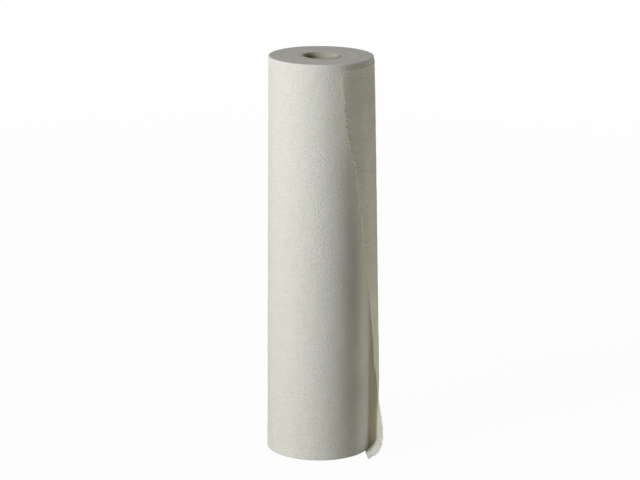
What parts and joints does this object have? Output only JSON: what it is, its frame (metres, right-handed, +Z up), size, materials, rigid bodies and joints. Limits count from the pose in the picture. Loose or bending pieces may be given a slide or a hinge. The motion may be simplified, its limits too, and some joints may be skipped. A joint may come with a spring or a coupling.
{
  "type": "exam table paper roll",
  "caption": "Tall wound roll of white embossed couch paper on a thin board core, standing on end, its outer turn hanging loose with a torn perforated edge.",
  "frame": {"origin": "centre of the roll's bottom end, on the axis of the core's bore", "axes": "+Z up the roll's axis; the front is -Y, and the loose outer turn comes round the +X side to its torn end at the front right"},
  "size_m": [0.1404, 0.1304, 0.5],
  "materials": {
    "embossed_paper": "matte white two-ply crepe, fine dot embossing",
    "core_board": "matte pale grey-beige spiral-wound board"
  },
  "bodies": {
    "root": {"core_tube": "core_board", "paper_web": "embossed_paper"}
  },
  "joints": []
}
